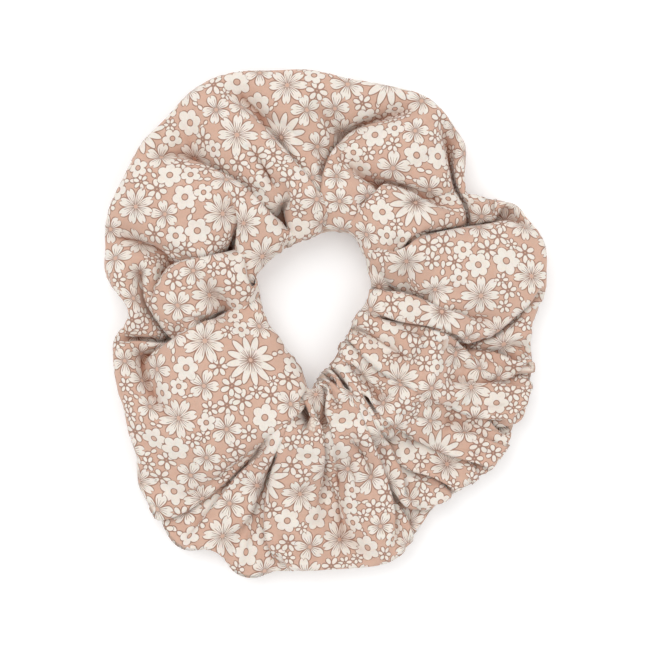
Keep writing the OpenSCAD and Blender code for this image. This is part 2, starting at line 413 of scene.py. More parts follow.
    def find_pairs(self, reach, apart):
        """Points that are near each other but not neighbours in the cloth."""
        p = self.points.reshape(-1, 3)
        cell = np.floor((p - p.min(0)) / reach).astype(np.int64) + 1
        size = cell.max(0) + 2
        key = (cell[:, 0] * size[1] + cell[:, 1]) * size[2] + cell[:, 2]
        order = np.argsort(key, kind="stable")
        sorted_key = key[order]
        nearby = (-1, 0, 1)
        steps = [(x * size[1] + y) * size[2] + z for x in nearby for y in nearby for z in nearby]
        index = np.arange(len(p))
        found = []
        for step in sorted(s for s in steps if s >= 0):
            low = np.searchsorted(sorted_key, sorted_key + step, side="left") if step else index + 1
            high = np.searchsorted(sorted_key, sorted_key + step, side="right")
            count = np.maximum(high - low, 0)
            if count.sum() == 0:
                continue
            first = np.repeat(index, count)
            base = np.repeat(low - np.concatenate([[0], np.cumsum(count)[:-1]]), count)
            pair = np.stack([order[first], order[base + np.arange(count.sum())]])
            gap = p[pair[0]] - p[pair[1]]
            found.append(pair[:, (gap * gap).sum(-1) < reach * reach])
        pairs = np.concatenate(found, 1)
        row, column = pairs // self.columns, pairs % self.columns
        far_u = np.abs(short_way(row[0] - row[1], self.rows)) * self.along
        far_v = np.abs(short_way(column[0] - column[1], self.columns)) * self.across
        self.pairs = pairs[:, np.maximum(far_u, far_v) > apart]

    def keep_layers_apart(self, gap_wanted):
        """Pushes apart the points that have come too near each other."""
        i, j = self.pairs
        p = self.points.reshape(-1, 3)
        gap = p[i] - p[j]
        square = (gap * gap).sum(-1)
        close = square < gap_wanted * gap_wanted
        i, j, gap = i[close], j[close], gap[close]
        length = np.sqrt(square[close]) + 1e-6
        move = gap * (LAYER_PUSH * (gap_wanted - length) / length)[:, None]
        count = len(p)
        contacts = np.bincount(i, minlength=count) + np.bincount(j, minlength=count)
        share = 1 / np.maximum(contacts, 1) ** 0.5
        for axis in range(3):
            total = np.bincount(i, weights=move[:, axis], minlength=count)
            total = total - np.bincount(j, weights=move[:, axis], minlength=count)
            p[:, axis] += total * share

    def keep_in_outline(self, gathered):
        """Eases the cloth into the rounded ring between its outlines, which close in over time."""
        p = self.points
        radius = np.hypot(p[..., 0], p[..., 1])
        theta = np.arctan2(p[..., 1], p[..., 0])
        wide_out, wide_in = self.wide + self.half + 3, self.wide - self.half - 3
        outer = wide_out + (read_edge(self.outer, theta) - wide_out) * gathered
        inner = wide_in + (read_edge(self.inner, theta) - wide_in) * gathered
        middle, reach = (outer + inner) / 2, (outer - inner) / 2
        half = COVER_TOP / 2
        a, z = (radius - middle) / reach, (p[..., 2] - half) / half
        size = np.abs(a) ** ROUNDNESS + np.abs(z) ** ROUNDNESS
        outside = size > 1
        shrink = np.where(outside, np.maximum(size, 1e-9) ** (-1 / ROUNDNESS), 1)
        new_radius = middle + reach * a * shrink
        new_height = z * shrink * half + half
        # the underside is held only by the table
        low = p[..., 2] < half
        kept = np.clip(radius, inner + 1.0, outer - 0.5)
        eased = kept + (np.where(outside, new_radius, kept) - kept) * 0.35
        new_radius = np.where(low, eased, new_radius)
        new_height = np.where(low, p[..., 2], new_height)
        ratio = (radius + (new_radius - radius) * 0.6) / np.maximum(radius, 1e-6)
        p[..., :2] *= ratio[..., None]
        p[..., 2] += (new_height - p[..., 2]) * 0.6
        np.maximum(p[..., 2], TABLE_GAP, out=p[..., 2])

    def keep_off_elastic(self, ring_radius):
        """Pushes the cloth out of the core that stands for the elastic."""
        p = self.points
        radius = np.hypot(p[..., 0], p[..., 1])
        nearest = np.clip(p[..., 2], ELASTIC_LOW, ELASTIC_HIGH)
        out, up = radius - ring_radius, p[..., 2] - nearest
        away = np.sqrt(out * out + up * up)
        grow = np.where(away < ELASTIC_CLEAR, ELASTIC_CLEAR / np.maximum(away, 1e-6), 1)
        ratio = (ring_radius + out * grow) / np.maximum(radius, 1e-6)
        p[..., :2] *= ratio[..., None]
        p[..., 2] = nearest + up * grow

    def draw_edges(self, gathered, steer):
        """Draws the tube's inner edge and outer edge towards their outlines."""
        p = self.points
        sides = (
            (0, self.inner, self.wide - self.half, 0.3, self.inner_angle),
            (self.columns // 2, self.outer, self.wide + self.half, -0.5, self.outer_angle),
        )
        for (column, table, start, off, goal), height in zip(sides, EDGE_HEIGHTS):
            x, y = p[:, column, 0], p[:, column, 1]
            radius, theta = np.hypot(x, y), np.arctan2(y, x)
            target = start + (read_edge(table, theta) + off - start) * gathered
            aim = self.angle + (goal - self.angle) * gathered
            turn = short_way(aim - theta, 2 * np.pi)
            radius = radius + np.clip((target - radius) * 0.5, -EDGE_STEP, EDGE_STEP)
            theta = theta + np.clip(turn * steer, -EDGE_STEP / radius, EDGE_STEP / radius)
            p[:, column, 0] = radius * np.cos(theta)
            p[:, column, 1] = radius * np.sin(theta)
            p[:, column, 2] += (height - p[:, column, 2]) * 0.15

    def keep_upright(self):
        """Keeps the tube's upper side above its underside, so that it can't turn through itself."""
        p = self.points
        half = self.columns // 2
        middle, reach = smoothed(p.mean(1), 6, step=-2), smoothed(p[:, half] - p[:, 0], 6, step=-2)
        up = np.cross(reach, np.roll(middle, -2, 0) - np.roll(middle, 2, 0))
        up = (up / np.linalg.norm(up, axis=1, keepdims=True))[:, None]
        j = np.arange(1, half)
        gap = ((p[:, j] - p[:, -j]) * up).sum(-1)
        least = np.minimum(OPEN_GAP, 0.35 * self.across * np.minimum(j, half - j))
        push = 0.5 * np.clip(least - gap, 0, EDGE_STEP)[..., None] * up
        p[:, j] += push
        p[:, -j] -= push

    def puff(self, amount):
        """Air and stiffness hold the lobes open."""
        self.points = self.points + cloth_normals(self.points) * (amount * (0.35 + 3.0 * self.stiff))

    def settle(self, steps, start, rounds, gap, bend, steer):
        """Moves the cloth for a number of steps, from its gathered share at the start to the whole."""
        for step in range(steps):
            gathered = start + (1 - start) * (step + 1) / steps
            drift = (self.points - self.before) * GLIDE
            speed = np.sqrt((drift * drift).sum(-1, keepdims=True))
            drift *= np.minimum(1, 0.35 * gap / np.maximum(speed, 1e-9))
            self.before = self.points.copy()
            self.points = self.points + drift
            self.points[..., 2] -= WEIGHT
            self.puff(PUFF)
            self.find_pairs(gap * 1.6, gap * 1.5)
            for turn in range(rounds):
                for axis in (0, 1):
                    self.resist_bend(axis, 1, self.stiff * bend[0])
                    if bend[1]:
                        self.resist_bend(axis, 2, self.stiff * bend[1])
                self.hold_shear()
                self.hold_length(0, self.along)
                self.hold_length(1, self.across)
                if turn % 2:
                    self.draw_edges(gathered, steer)
                    self.keep_upright()
                    self.keep_layers_apart(gap)
            self.keep_in_outline(gathered)
            self.keep_off_elastic(self.wide + (ELASTIC_R - self.wide) * gathered)
            # no point moves so far in one step that layers could pass through each other
            moved = self.points - self.before
            far = np.sqrt((moved * moved).sum(-1, keepdims=True))
            self.points = self.before + moved * np.minimum(1, 0.5 * gap / np.maximum(far, 1e-9))
            # rounded, so that every computer folds the cloth in the same way
            self.points = np.round(self.points, 3)


def stretch_to_outline(points):
    """Stretches the gathered cloth a little, both ways from the elastic, to fill its outline."""
    radius = np.hypot(points[..., 0], points[..., 1])
    theta = np.arctan2(points[..., 1], points[..., 0]) % (2 * np.pi)
    count = 180
    sector = (theta / (2 * np.pi) * count).astype(int) % count
    centre = (np.arange(count) + 0.5) / count * 2 * np.pi
    result = points.copy()
    sides = ((OUTER_EDGE, -RIM_SPARE, np.maximum), (INNER_EDGE, HOLE_SPARE, np.minimum))
    for table, spare, reach in sides:
        edge = np.full(count, ELASTIC_MID)
        reach.at(edge, sector.ravel(), radius.ravel())
        wanted = read_edge(edge_table(table), centre) + spare
        stretch = np.clip((wanted - ELASTIC_MID) / (edge - ELASTIC_MID), 0.88, 1.14)
        scale = np.interp(theta, centre, smoothed(stretch, 3, own=2), period=2 * np.pi)
        side = radius > ELASTIC_MID if spare < 0 else radius < ELASTIC_MID
        ratio = np.where(side, (ELASTIC_MID + (radius - ELASTIC_MID) * scale) / radius, 1)
        result[..., :2] *= ratio[..., None]
    return result


def gather_cloth(seed):
    """Gathers the tube onto its elastic, first coarsely and then with a finer grid."""
    cloth = Cloth(*COARSE_GRID, seed)
    cloth.settle(GATHER_STEPS, 0, 6, LAYER_GAP, STIFF_COARSE, STEER)
    cloth.settle(REST_STEPS, 1, 8, LAYER_GAP, STIFF_COARSE, 0.0)
    fine = cloth.refined(*FINE_GRID, seed)
    fine.settle(FINE_STEPS, 1, 6, FINE_GAP, STIFF_FINE, 0.0)
    return stretch_to_outline(fine.points)


# ---------------- flower print

# Kinds of flower: petals, half-width, roundness, widening to the tip, petal's start, notch depth,
# radius of the joined middle, radius of the centre, brown ring round the centre (0 or 1),
# length of the petal lines
KINDS = {
    "scalloped": (6, 0.325, 0.56, 0.10, 0.20, 0.00, 0.60, 0.205, 1.0, 0.00),
    "scallop_5": (5, 0.350, 0.52, 0.12, 0.20, 0.00, 0.58, 0.220, 1.0, 0.00),
    "blossom":   (5, 0.268, 0.60, 0.60, 0.06, 0.20, 0.00, 0.120, 0.0, 0.66),
    "cosmos":    (8, 0.180, 0.60, 0.55, 0.06, 0.17, 0.00, 0.105, 0.0, 0.64),
    "daisy":     (12, 0.125, 0.66, 0.16, 0.08, 0.00, 0.00, 0.080, 0.0, 0.50),
    "sprig":     (6, 0.215, 0.50, 0.16, 0.26, 0.00, 0.00, 0.080, 0.0, 0.00),
    "leaves":    (2, 0.250, 0.55, 0.10, 0.08, 0.00, 0.00, 0.000, 0.0, 0.00),
}
# How the cloth is filled, in rounds: kind, smallest and largest radius in mm, number wanted
PRINT_ROUNDS = (
    (("daisy", 5.6, 6.6, 30), ("cosmos", 4.4, 5.6, 120)),
    (("scalloped", 3.0, 3.5, 210), ("blossom", 3.5, 4.3, 330), ("scallop_5", 2.2, 2.7, 240)),
    (("sprig", 2.1, 2.7, 600), ("sprig", 1.5, 2.0, 1100), ("leaves", 1.2, 1.8, 2400)),
)
# Number of flowers that each face of the cloth can show
NEAREST = 6
# Half-width in mm of the patch that is searched for a place, places tried in it, and the largest flower
PRINT_WINDOW, TRIES, LARGEST_FLOWER = 16.0, 160, 6.6
# How far a flower of each round may reach into its neighbours, as a part of its radius
OVERLAPS = (0.20, 0.34, 0.52)


def pack_flowers(length, width, seed):
    """Throws flowers on the cloth, large ones first, and keeps those that have room."""
    rng = np.random.default_rng(seed)
    spots = np.zeros((0, 3))
    kinds = []
    for number, batch in enumerate(PRINT_ROUNDS):
        wanted = [
            (kind, rng.uniform(low, high))
            for kind, low, high, count in batch
            for _ in range(count)
        ]
        rng.shuffle(wanted)
        wanted = [(str(kind), float(radius)) for kind, radius in wanted]
        if number == 2:
            wanted.sort(key=lambda item: -item[1])
        for kind, radius in wanted:
            window = rng.uniform(0, 1, 2) * (length, width)
            tries = window + rng.uniform(-PRINT_WINDOW, PRINT_WINDOW, (TRIES, 2))
            # only the flowers that a try can touch are compared with it
            gap = short_way(spots[:, :2] - window, np.array([length, width]))
            near = (np.abs(gap) < PRINT_WINDOW + radius + LARGEST_FLOWER).all(1)
            reach = tries[:, None] - window - gap[None, near]
            reach = np.hypot(reach[..., 0], reach[..., 1]) - (spots[None, near, 2] + radius)
            room = np.concatenate([reach, np.full((len(tries), 1), 9.0)], 1).min(1)
            good = np.flatnonzero(room > -OVERLAPS[number] * radius)
            if len(good) == 0:
                continue
            # large flowers fall anywhere that is free, the rest go close beside what is there
            pick = good[0] if number == 0 else good[np.argmin(room[good])]
            spots = np.vstack([spots, (*(tries[pick] % (length, width)), radius)])
            kinds.append(kind)
    turns = rng.uniform(0, 2 * np.pi, len(spots))
    tints = rng.uniform(0, 1, len(spots))
    return spots, kinds, turns, tints


def nearest_flowers(spots, centres, length, width):
    """Numbers of the flowers whose edges come nearest to each face."""
    best = np.zeros((len(centres), NEAREST), int)
    step = 4000
    for start in range(0, len(centres), step):
        part = centres[start:start + step]
        gap = np.abs(part[:, None] - spots[None, :, :2])
        gap = np.minimum(gap, (length, width) - gap)
        edge = np.hypot(gap[..., 0], gap[..., 1]) - spots[None, :, 2]
        order = np.argpartition(edge, NEAREST, axis=1)[:, :NEAREST]
        # drawn in the same order everywhere, so that overlaps agree from face to face
        best[start:start + step] = np.sort(order, axis=1)
    return best


def add_object(name, data):
    """An object that shows the data, in the scene."""
    made = bpy.data.objects.new(name, data)
    bpy.context.scene.collection.objects.link(made)
    return made


def add_attribute(mesh, name, kind, domain, values):
    """Stores numbers on the mesh for the materials to read."""
    layer = mesh.attributes.new(name, kind, domain)
    field = "value" if kind == "FLOAT" else "vector"
    layer.data.foreach_set(field, np.ascontiguousarray(values, dtype=np.float32).ravel())


def print_on_cloth(mesh, corners, face_centres):
    """Gives each face the flowers that reach it: its corners' places in each, and the flower's form."""
    spots, kinds, turns, tints = pack_flowers(CLOTH_L, CLOTH_W, PRINT_SEED)
    near = nearest_flowers(spots, face_centres % (CLOTH_L, CLOTH_W), CLOTH_L, CLOTH_W)
    forms = np.array([KINDS[k] for k in kinds])
    loops = np.repeat(near, 4, axis=0)
    for k in range(NEAREST):
        who = loops[:, k]
        gap = short_way(corners - spots[who, :2], np.array([CLOTH_L, CLOTH_W]))
        c, s = np.cos(turns[who]), np.sin(turns[who])
        x, y = gap[:, 0], gap[:, 1]
        local = np.stack([x * c + y * s, y * c - x * s, spots[who, 2]], 1)
        add_attribute(mesh, f"place{k}", "FLOAT_VECTOR", "CORNER", local)
        form, tint = forms[near[:, k]], tints[near[:, k], None]
        form = np.concatenate([form, tint, tint], 1)
        for number, part in enumerate(("petal", "tip", "heart", "line")):
            add_attribute(mesh, f"{part}{k}", "FLOAT_VECTOR", "FACE", form[:, 3 * number:3 * number + 3])


# ---------------- node helpers


class Value:
    """A number in a node tree. Reckoning with it adds the nodes that do the same."""

    def __init__(self, nodes, socket):
        self.nodes, self.socket = nodes, socket

    def __add__(self, other):
        return self.nodes.math("ADD", self, other)

    def __sub__(self, other):
        return self.nodes.math("SUBTRACT", self, other)

    def __rsub__(self, other):
        return self.nodes.math("SUBTRACT", other, self)

    def __mul__(self, other):
        return self.nodes.math("MULTIPLY", self, other)

    def __truediv__(self, other):
        return self.nodes.math("DIVIDE", self, other)

    def __rtruediv__(self, other):
        return self.nodes.math("DIVIDE", other, self)

    def __pow__(self, other):
        return self.nodes.math("POWER", self, other)

    def __abs__(self):
        return self.nodes.math("ABSOLUTE", self)

    __radd__, __rmul__ = __add__, __mul__


class Nodes:
    """Short hand for building a node tree."""

    def __init__(self, tree):
        self.tree = tree

    def node(self, kind, inputs=(), **settings):
        """A new node with its settings, and with its inputs set or linked."""
        made = self.tree.nodes.new(f"ShaderNode{kind}")
        for key, value in settings.items():
            setattr(made, key, value)
        for key, value in dict(inputs).items():
            self.feed(made.inputs[key], value)
        return made

    def feed(self, socket, value):
        """Sets a socket to a plain value, or links it to another node's output."""
        value = getattr(value, "socket", value)
        if isinstance(value, (int, float, tuple)):
            socket.default_value = value
        else:
            self.tree.links.new(value, socket)

    def math(self, operation, *values):
        made = self.node("Math", enumerate(values), operation=operation)
        return Value(self, made.outputs[0])

    def step(self, value, low, high):
        """Rises smoothly from 0 at low to 1 at high."""
        inputs = {"Value": value, "From Min": low, "From Max": high}
        made = self.node("MapRange", inputs, interpolation_type="SMOOTHSTEP")
        return Value(self, made.outputs["Result"])

    def mix(self, factor, a, b, blend="MIX"):
        made = self.node("Mix", {0: factor, 6: a, 7: b}, data_type="RGBA", blend_type=blend)
        return made.outputs[2]

    def attribute(self, name, output="Vector"):
        return self.node("Attribute", attribute_name=name).outputs[output]

    def split(self, vector):
        """The three parts of a vector."""
        return [Value(self, part) for part in self.node("SeparateXYZ", {0: vector}).outputs]

    def noise(self, vector, scale, detail, rough):
        inputs = {"Vector": vector, "Scale": scale, "Detail": detail, "Roughness": rough}
        return Value(self, self.node("TexNoise", inputs).outputs["Fac"])

    def bump(self, height, strength, distance, **inputs):
        inputs.update({"Height": height, "Strength": strength, "Distance": distance})
        return self.node("Bump", inputs).outputs[0]


FLOWER_PARTS = ("Place", "Petal", "Tip", "Heart", "Line")


def flower_group():
    """A group that draws one flower: how far a point lies in its petals, outline, heart and lines."""
    tree = bpy.data.node_groups.new("printed_flower", "ShaderNodeTree")
    for name in FLOWER_PARTS:
        tree.interface.new_socket(name, in_out="INPUT", socket_type="NodeSocketVector")
    for name in ("Petals", "Outline", "Heart", "Ink"):
        tree.interface.new_socket(name, in_out="OUTPUT", socket_type="NodeSocketFloat")
    n = Nodes(tree)
    ins = tree.nodes.new("NodeGroupInput").outputs
    x, y, size = n.split(ins["Place"])
    petals, half_width, roundness = n.split(ins["Petal"])
    widen, start, notch = n.split(ins["Tip"])
    joined, heart, ringed = n.split(ins["Heart"])
    line_end, tint, _ = n.split(ins["Line"])
    radius = n.math("SQRT", x * x + y * y) / size
    # folded into the nearest petal, which points along the local x axis
    sector = 2 * math.pi / petals
    count = n.math("ARCTAN2", y, x) / sector
    nearest = n.math("ROUND", count)
    off = (count - nearest) * sector
    px = radius * n.math("COSINE", off)
    side = abs(radius * n.math("SINE", off))
    # each petal differs a little
    petal_key = n.node("CombineXYZ", {0: n.math("FLOORED_MODULO", nearest, petals), 1: tint * 91.0})
    odd = n.node("TexWhiteNoise", {"Vector": petal_key.outputs[0]}, noise_dimensions="2D")
    vary = Value(n, odd.outputs["Value"]) - 0.5
    reach = vary * 0.14 + 0.96
    # the tip is cut by a notch
    cut = px + notch * n.math("MAXIMUM", 1.0 - side / 0.075, 0.0)
    along = (cut - start) / (reach - start)
    inside = n.math("MAXIMUM", along * 4.0 * (1.0 - along), 0.0)
    width = half_width * inside ** roundness * ((along - 0.5) * widen * 2.0 + 1.0)
    petal_in = n.math("MINIMUM", (width - side) * size, (reach - cut) * size * 1.6)
    depth = n.math("SMOOTH_MAX", petal_in, (joined - radius) * size, 0.12)
    heart_in = (heart - radius) * size
    white = n.step(depth, -0.05, 0.06)
    edge = n.step(depth, -0.32, -0.21) - white
    ring = n.step(abs(heart_in + 0.06), 0.16, 0.05) * (ringed * 0.7 + 0.3)
    # printed lines that run up each petal: one in the middle and one each side
    beside = abs(side - half_width * px * 1.1)
    centred = side + n.step(px, 0.0, 1.0) * 0.02
    stroke = n.step(n.math("MINIMUM", beside, centred) * size, 0.105, 0.045)
    stop = vary * 0.16 + line_end
    stroke = stroke * n.step(px, stop, stop - 0.14) * n.step(heart_in, 0.02, -0.05)
    stroke = stroke * n.math("GREATER_THAN", line_end, 0.01)
    out = tree.nodes.new("NodeGroupOutput").inputs
    n.feed(out["Petals"], white)
    n.feed(out["Outline"], edge)
    n.feed(out["Heart"], n.step(heart_in, -0.05, 0.06))
    n.feed(out["Ink"], n.math("MAXIMUM", ring, stroke * 0.9))
    return tree


def linear(r, g, b):
    """A display colour as the linear values that shaders use."""
    return tuple(((v + 0.055) / 1.055) ** 2.4 if v > 0.04 else v / 12.92 for v in (r, g, b)) + (1.0,)


def new_material(name, inputs):
    """A material of one shader, with the shader's inputs that are the same all over."""
    mat = bpy.data.materials.new(name)
    mat.use_nodes = True
    mat.node_tree.nodes.clear()
    n = Nodes(mat.node_tree)
    shader = n.node("BsdfPrincipled", inputs)
    n.node("OutputMaterial", {"Surface": shader.outputs[0]})
    return mat, n, shader.inputs


def woven_height(n, cloth, pitch):
    """Over-and-under threads of a plain weave, from the cloth's own lengths in mm."""
    u, v, _ = n.split(cloth)
    a, b = n.math("SINE", u * (math.pi / pitch)), n.math("SINE", v * (math.pi / pitch))
    over = n.math("SIGN", a * b)
    return n.math("MAXIMUM", abs(a) * (over * 0.35 + 0.65), abs(b) * (over * -0.35 + 0.65))


def cotton_material():
    """Printed cotton: flowers on a pale ground, a plain weave, a paler reverse and painted shade in its
    creases.
    """
    mat, n, shader = new_material("printed_cotton", {
        # thin cotton lets some light through, which comes out warmer
        "Subsurface Weight": 0.3,
        "Subsurface Radius": (1.0, 0.6, 0.45),
        "Subsurface Scale": 0.0005,
        "Sheen Weight": 0.2,
        "Sheen Roughness": 0.5,
        "Specular IOR Level": 0.25,
    })
    cloth = n.attribute("cloth")
    group = flower_group()
    ink = linear(*INK)
    mottle = n.noise(cloth, 0.55, 3.0, 0.6)
    fleck = n.noise(cloth, 3.2, 2.0, 0.6)
    ground = n.mix(n.step(mottle, 0.3, 0.7) * 0.55, linear(*GROUND), linear(*GROUND_DEEP))
    cream = n.mix(n.step(mottle, 0.35, 0.7), linear(*PETAL), linear(*PETAL_WARM))
    colour = ground
    # the small flowers come last in the list and lie under the large ones
    for k in reversed(range(NEAREST)):
        parts = {name: n.attribute(f"{name.lower()}{k}") for name in FLOWER_PARTS}
        flower = n.node("Group", parts, node_tree=group)
        colour = n.mix(Value(n, flower.outputs["Outline"]) * 0.85, colour, ink)
        colour = n.mix(flower.outputs["Petals"], colour, cream)
        colour = n.mix(flower.outputs["Heart"], colour, ground)
        colour = n.mix(flower.outputs["Ink"], colour, ink)
    # the print is fainter where threads cross, and paler on the reverse
    speck = (fleck - 0.5) * 0.22 + 1.0
    printed = n.node("HueSaturation", {"Color": colour, "Value": speck}).outputs[0]
    back = n.mix(0.62, printed, linear(*REVERSE))
    both_sides = n.mix(n.attribute("reverse", "Fac"), printed, back)
    # painted shade: deep in a crease the colour is darkened and warmed, standing in for light that
    # bounces about inside it and takes on the colour of the ground
    crease = Value(n, n.attribute("crease", "Fac"))
    n.feed(shader["Base Color"], n.mix(crease ** 1.3, both_sides, linear(*CREASE_SHADE), "MULTIPLY"))
    n.feed(shader["Roughness"], fleck * 0.12 + 0.80)
    weave = n.bump(woven_height(n, cloth, WEAVE_PITCH), 0.35, 0.00006)
    slub = n.noise(cloth, 1.4, 3.0, 0.6)
    n.feed(shader["Normal"], n.bump(slub, 0.5, 0.0002, Normal=weave))
    return mat


def build_cloth(points):
    """One closed skin of cloth with an outer and an inner side, from a closed grid of points in mm."""
    rows, columns = points.shape[:2]
    skins = np.concatenate([points, points - cloth_normals(points) * CLOTH_T])
    # the puckers don't sink into the table
    skins[..., 2] = np.maximum(skins[..., 2], SKIN_GAP)
    vertices = skins.reshape(-1, 3) * MM
    i, j = np.meshgrid(np.arange(rows), np.arange(columns), indexing="ij")
    i2, j2 = (i + 1) % rows, (j + 1) % columns
    quads = np.stack([i * columns + j, i * columns + j2, i2 * columns + j2, i2 * columns + j], -1)
    quads = quads.reshape(-1, 4)
    count = rows * columns
    faces = np.concatenate([quads, quads[:, ::-1] + count])
    mesh = bpy.data.meshes.new("printed_cover")
    mesh.vertices.add(len(vertices))
    mesh.vertices.foreach_set("co", vertices.ravel())
    mesh.loops.add(faces.size)
    mesh.loops.foreach_set("vertex_index", faces.ravel())
    mesh.polygons.add(len(faces))
    mesh.polygons.foreach_set("loop_start", np.arange(0, faces.size, 4))
    mesh.update(calc_edges=True)
    mesh.validate()
    mesh.polygons.foreach_set("use_smooth", np.ones(len(faces), bool))
    # lengths along and across the cloth at every corner, with no jump where the grid closes
    u0, v0 = i * CLOTH_L / rows, j * CLOTH_W / columns
    du, dv = CLOTH_L / rows, CLOTH_W / columns
    us = np.stack([u0, u0, u0 + du, u0 + du], -1).reshape(-1, 4)
    vs = np.stack([v0, v0 + dv, v0 + dv, v0], -1).reshape(-1, 4)
    corners = np.concatenate([np.stack([us, vs], -1), np.stack([us, vs], -1)[:, ::-1]]).reshape(-1, 2)
    centres = corners.reshape(-1, 4, 2).mean(1)
    lengths = np.concatenate([corners, np.zeros((len(corners), 1))], 1)
    add_attribute(mesh, "cloth", "FLOAT_VECTOR", "CORNER", lengths)
    add_attribute(mesh, "reverse", "FLOAT", "FACE", np.repeat([0.0, 1.0], count))
    add_attribute(mesh, "crease", "FLOAT", "POINT", np.tile(crease_depth(points).ravel(), 2))
    print_on_cloth(mesh, corners, centres)
    return add_object("printed_cover", mesh)


# ---------------- elastic and thread


def mesh_object(name, vertices, faces, material, mark, marks):
    """A smooth-shaded object from points in mm, with one attribute given per vertex."""
    mesh = bpy.data.meshes.new(name)
    places = [tuple(v) for v in np.asarray(vertices) * MM]
    mesh.from_pydata(places, [], [tuple(int(i) for i in f) for f in faces])
    mesh.validate()
    mesh.polygons.foreach_set("use_smooth", [True] * len(mesh.polygons))
    add_attribute(mesh, mark, "FLOAT_VECTOR", "POINT", marks)
    mesh.materials.append(material)
    return add_object(name, mesh)


def ring_faces(rings, sides, offset=0):
    """Quads between neighbouring rings, and a flat cap at both ends."""
    faces = []
    for r in range(rings - 1):
        for s in range(sides):
            t = (s + 1) % sides
            a, b = offset + r * sides, offset + (r + 1) * sides
            faces.append((a + s, a + t, b + t, b + s))
    faces.append(tuple(offset + s for s in reversed(range(sides))))
    faces.append(tuple(offset + (rings - 1) * sides + s for s in range(sides)))
    return faces


def thread_object(name, paths, radius, material, sides=8):
    """Round threads with rounded ends along paths in mm."""
    vertices, marks, faces = [], [], []
    turn = np.arange(sides) / sides * 2 * np.pi
    travelled = 0.0
    for path in paths:
        tangent = np.gradient(path, axis=0)
        tangent /= np.linalg.norm(tangent, axis=1, keepdims=True) + 1e-9
        side = np.cross(tangent, (0.13, 0.21, 0.97))
        side /= np.linalg.norm(side, axis=1, keepdims=True) + 1e-9
        over = np.cross(tangent, side)
        steps = np.concatenate([[0], np.linalg.norm(np.diff(path, axis=0), axis=1).cumsum()])
        rings = [(path[0] - tangent[0] * radius * 0.8, 0, 0.45, 0.0)]
        rings += [(point, k, 1.0, steps[k]) for k, point in enumerate(path)]
        rings += [(path[-1] + tangent[-1] * radius * 0.8, len(path) - 1, 0.45, steps[-1])]
        faces += ring_faces(len(rings), sides, len(vertices))
        for point, k, swell, far in rings:
            for a in turn:
                vertices.append(point + (side[k] * np.cos(a) + over[k] * np.sin(a)) * radius * swell)
                marks.append((travelled + far, a * radius, 0.0))
        travelled += steps[-1] + 1.0
    return mesh_object(name, vertices, faces, material, "thread", marks)


def thread_material():
    """Spun polyester thread: twisted plies, with a soft sheen."""
    mat, n, shader = new_material("sewing_thread", {"Sheen Weight": 0.3})
    mark = n.attribute("thread")
    far, around, _ = n.split(mark)
    ply = n.math("SINE", (far + around * 1.6) * (2 * math.pi / TWIST_PITCH)) * 0.5 + 0.5
    fuzz = n.noise(mark, 5.0, 3.0, 0.7)
    # painted shade: the thread is darker in the grooves between its plies, where the bump is lowest
    colour = n.mix(ply, linear(0.80, 0.74, 0.68), linear(0.92, 0.88, 0.83))
    n.feed(shader["Base Color"], n.mix(fuzz * 0.35, colour, linear(0.86, 0.80, 0.74)))
    n.feed(shader["Roughness"], fuzz * 0.2 + 0.5)
    n.feed(shader["Normal"], n.bump(ply + fuzz * 0.4, 0.7, 0.00005))
    return mat


def elastic_material():
    """Flat braided elastic: ribs along it, crossed by slanting yarns."""
    mat, n, shader = new_material("braided_elastic", {"Sheen Weight": 0.15})
    strip = n.attribute("strip")
    far, across, _ = n.split(strip)
    rib = n.math("SINE", across * (math.pi / RIB_PITCH))
    # yarns slant one way on one rib and the other way on the next
    sloping = far + across * n.math("SIGN", rib) * 0.9
    yarn = n.math("SINE", sloping * (2 * math.pi / YARN_PITCH)) * 0.5 + 0.5
    height = yarn * 0.5 + abs(rib) * 0.6
    wear = n.noise(strip, 0.4, 3.0, 0.6)
    # painted shade: the elastic is darker where its braid is lower, in the grooves between ribs and
    # yarns
    colour = n.mix(height * 0.8, linear(0.80, 0.78, 0.74), linear(0.94, 0.93, 0.90))
    n.feed(shader["Base Color"], n.mix(wear * 0.25, colour, linear(0.88, 0.85, 0.79)))
    n.feed(shader["Roughness"], wear * 0.15 + 0.62)
    n.feed(shader["Normal"], n.bump(height, 0.8, 0.00012))
    return mat


def ring_point(angle, radius, height):
    """A point about the elastic's axis, in the row's frame, in mm."""
    x, y = RING_X + radius * np.cos(angle), RING_Y + radius * np.sin(angle)
    return np.stack([x, y, height + 0 * angle], -1)


